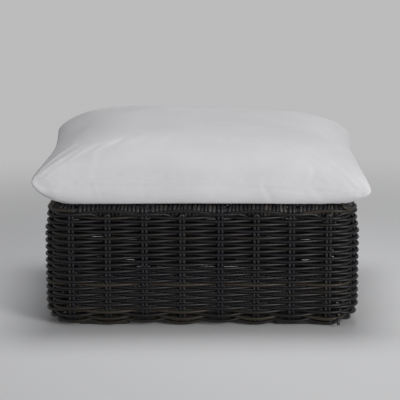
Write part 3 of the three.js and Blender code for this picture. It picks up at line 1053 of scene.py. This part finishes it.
def finishMaterial(tree, settings, links):
    shader = addNode(tree, "ShaderNodeBsdfPrincipled", settings, links)
    addNode(tree, "ShaderNodeOutputMaterial", {}, {"Surface": shader.outputs["BSDF"]})


# Extruded polyethylene strand: satin charcoal, with each length a little browner or bluer than the next
def resinMaterial(name, stops, roughness):
    material, tree = newMaterial(name)
    tone = addNode(tree, "ShaderNodeAttribute", {"attribute_name": "tone"})
    cloud = addTexture(tree, "Noise", Scale=60.0, Detail=4.0, Roughness=0.6)
    dull = addNode(tree, "ShaderNodeMapRange", {"To Min": roughness - 0.08, "To Max": roughness + 0.1},
                   {"Value": cloud})
    grain = addTexture(tree, "Noise", Scale=900.0)
    finishMaterial(tree, {"IOR": 1.5, "Specular IOR Level": 0.27}, {
        "Base Color": addRamp(tree, stops, tone.outputs["Fac"]),
        "Roughness": dull.outputs["Result"],
        "Normal": addBump(tree, 0.25, 0.0004, grain),
    })
    return material


# Powder-coated aluminium tube: dark grey with a faint orange peel
def tubeMaterial():
    material, tree = newMaterial("powderCoatedAluminium")
    peel = addTexture(tree, "Noise", Scale=420.0)
    cloud = addTexture(tree, "Noise", Scale=18.0, Detail=3.0)
    finishMaterial(tree, {"Roughness": 0.42, "IOR": 1.5}, {
        "Base Color": addRamp(tree, ((0.3, "#19191b"), (0.7, "#212225")), cloud),
        "Normal": addBump(tree, 0.3, 0.0003, peel),
    })
    return material


# Polypropylene webbing, woven flat on a needle loom: matt black, with a rib every 2 mm that the eye reads as cloth
def webbingMaterial():
    material, tree = newMaterial("wovenPolypropyleneWebbing")
    ribs = [addTexture(tree, "Wave", bands_direction=axis, Scale=bandScale(0.002), Distortion=0.6) for axis in "XY"]
    weaveMix = addNode(tree, "ShaderNodeMath", {"operation": "MULTIPLY"}, {0: ribs[0], 1: ribs[1]})
    finishMaterial(tree, {"Roughness": 0.8}, {
        "Base Color": addRamp(tree, ((0.0, "#141414"), (1.0, "#2b2a29")), weaveMix.outputs["Value"]),
        "Normal": addBump(tree, 0.6, 0.0006, weaveMix.outputs["Value"]),
    })
    return material


# Moulded polyethylene glide: near black with a fine spark-eroded texture
def glideMaterial():
    material, tree = newMaterial("mouldedPolyethylene")
    grit = addTexture(tree, "Noise", Scale=1500.0, Detail=3.0)
    scuff = addTexture(tree, "Noise", Scale=40.0, Detail=4.0)
    finishMaterial(tree, {"Roughness": 0.55}, {
        "Base Color": addRamp(tree, ((0.35, "#0e0e0f"), (0.75, "#1d1d1e")), scuff),
        "Normal": addBump(tree, 0.3, 0.0002, grit),
    })
    return material


# Solution-dyed polyester, plain woven and washed soft: matt pale grey with a thread grain that shows only close up.
# The real threads lie 0.5 mm apart and are drawn at 1.3 mm. The weft follows the cloth from the top to its sides
def fabricMaterial():
    material, tree = newMaterial("plainWovenPolyester")
    bands = {axis: addTexture(tree, "Wave", bands_direction=axis, Scale=bandScale(0.0013), Distortion=0.8)
             for axis in "XYZ"}
    coords = addNode(tree, "ShaderNodeTexCoord")
    facing = addNode(tree, "ShaderNodeSeparateXYZ", {}, {"Vector": coords.outputs["Normal"]})
    sets = []
    for axis in "XZ":
        share = addNode(tree, "ShaderNodeMath", {"operation": "POWER", 1: 2.0}, {0: facing.outputs[axis]})
        mix = addNode(tree, "ShaderNodeMix", {},
                      {"Factor": share.outputs["Value"], "A": bands[axis], "B": bands["Y"]})
        sets.append(mix.outputs["Result"])
    threads = addNode(tree, "ShaderNodeMath", {"operation": "ADD"}, {0: sets[0], 1: sets[1]})
    slub = addTexture(tree, "Noise", Scale=9.0, Detail=6.0, Roughness=0.55)
    softSheen = {"Roughness": 0.92, "Sheen Weight": 0.12, "Sheen Roughness": 0.5, "Specular IOR Level": 0.25}
    finishMaterial(tree, softSheen, {
        "Base Color": addRamp(tree, ((0.3, "#cbcacc"), (0.7, "#d3d2d4")), slub),
        "Normal": addBump(tree, 0.15, 0.0003, threads.outputs["Value"]),
    })
    return material


# 1 where the camera, a reflection or a view through glass sees a surface, 0 where light only bounces off it
def seenDirectly(tree):
    path = addNode(tree, "ShaderNodeLightPath")
    mirrored = addNode(tree, "ShaderNodeMath", {"operation": "MAXIMUM"},
                       {0: path.outputs["Is Glossy Ray"], 1: path.outputs["Is Transmission Ray"]})
    seen = addNode(tree, "ShaderNodeMath", {"operation": "MAXIMUM"},
                   {0: path.outputs["Is Camera Ray"], 1: mirrored.outputs["Value"]})
    return seen.outputs["Value"]


# Matt pale sweep: away from the stool it glows evenly for whoever looks and lights nothing
def floorMaterial(studio):
    material, tree = newMaterial("mattPaintedSweep")
    shader = addNode(tree, "ShaderNodeBsdfPrincipled", {"Base Color": hexColour("#e4e4e5"), "Roughness": 0.8})
    coords = addNode(tree, "ShaderNodeTexCoord")
    reach = addNode(tree, "ShaderNodeVectorMath", {"operation": "LENGTH"}, {0: coords.outputs["Object"]})
    far = addNode(tree, "ShaderNodeMapRange", {
        "interpolation_type": "SMOOTHSTEP",
        "From Min": studio["backdropStart"],
        "From Max": studio["backdropEnd"],
    }, {"Value": reach.outputs["Value"]})
    seen = addNode(tree, "ShaderNodeMath", {"operation": "MULTIPLY"},
                   {0: far.outputs["Result"], 1: seenDirectly(tree)})
    glow = addNode(tree, "ShaderNodeEmission", {"Strength": studio["backdropGlow"]})
    mix = addNode(tree, "ShaderNodeMixShader", {},
                  {0: seen.outputs["Value"], 1: shader.outputs["BSDF"], 2: glow.outputs["Emission"]})
    addNode(tree, "ShaderNodeOutputMaterial", {}, {"Surface": mix.outputs["Shader"]})
    return material


# Build, with a ramp of tones for each strand from its darkest lengths to its palest

strandResin = resinMaterial("extrudedPolyethyleneStrand",
                            ((0.05, "#0e0e13"), (0.4, "#121114"), (0.7, "#171513"), (0.95, "#2f2920")), 0.40)
wrapResin = resinMaterial("woundPolyethyleneStrand",
                          ((0.05, "#1c1b1f"), (0.5, "#2c2a2b"), (0.95, "#524d47")), 0.38)
# The uprights are the same strand as the rows. Their ramp is painted paler, as painted light that makes up for the
# shade they stand in between the rows
stakeResinPaintedPaler = resinMaterial("uprightStrandPaintedPaler",
                           ((0.05, "#1a1b22"), (0.5, "#222327"), (0.95, "#302e2c")), 0.36)

buildFrame(tubeMaterial())
print("frame tubes made")
buildStakes(stakeResinPaintedPaler)
print("stakes made")
buildWeavers(strandResin)
print("weavers made")
buildRimWrap(wrapResin)
buildRimRows(strandResin)
print("rim made")
buildDeck(webbingMaterial())
buildGlides(glideMaterial())
print("deck and glides made")
buildCushion(fabricMaterial())
print("cushion made")

# Studio

studio = {
    "floorHalf": 20.0,
    "lamps": (
        # name, place, aimed at, size, watts, spread in degrees
        ("keyLamp", (2.5, -3.1, 1.0), (0, 0, 0.25), 1.4, 108, 180),
        ("fillLamp", (-2.4, -3.0, 0.8), (0, 0, 0.25), 1.4, 11, 180),
        ("topLamp", (0.1, 0.35, 2.45), (0, 0, 0.3), 1.2, 10, 110),
    ),
    "worldStrength": 0.145,
    "backdropGlow": 0.50,
    "backdropStart": 0.62,
    "backdropEnd": 2.0,
    "lens": 165.4,
    "sensorWidth": 36,
    "cameraPlace": (-0.005, -4.370, 1.148),
    "cameraDip": 11.76,
}

bm = bmesh.new()
bmesh.ops.create_grid(bm, x_segments=1, y_segments=1, size=studio["floorHalf"])
floor = linkObject("floor", meshFromBmesh("floor", bm, False))
floor.data.materials.append(floorMaterial(studio))

for name, place, target, size, watts, spread in studio["lamps"]:
    light = bpy.data.lights.new(name, "AREA")
    light.size = size
    light.energy = watts
    light.spread = math.radians(spread)
    lamp = bpy.data.objects.new(name, light)
    lamp.location = place
    lamp.rotation_euler = (Vector(target) - Vector(place)).to_track_quat("-Z", "Y").to_euler()
    bpy.context.scene.collection.objects.link(lamp)

world = bpy.data.worlds.new("studioWorld")
world.use_nodes = True
sky = world.node_tree.nodes["Background"]
sky.inputs["Color"].default_value = hexColour("#f2f4f7")
# the sky is seen as pale as the sweep, but lights the stool less
skyStrength = addNode(world.node_tree, "ShaderNodeMapRange",
                      {"To Min": studio["worldStrength"], "To Max": studio["backdropGlow"]},
                      {"Value": seenDirectly(world.node_tree)})
world.node_tree.links.new(skyStrength.outputs["Result"], sky.inputs["Strength"])
bpy.context.scene.world = world

cameraData = bpy.data.cameras.new("camera")
cameraData.lens = studio["lens"]
cameraData.sensor_width = studio["sensorWidth"]
camera = bpy.data.objects.new("camera", cameraData)
camera.location = studio["cameraPlace"]
camera.rotation_euler = (math.radians(90 - studio["cameraDip"]), 0, 0)
bpy.context.scene.collection.objects.link(camera)
bpy.context.scene.camera = camera
bpy.context.scene.view_settings.view_transform = "Standard"
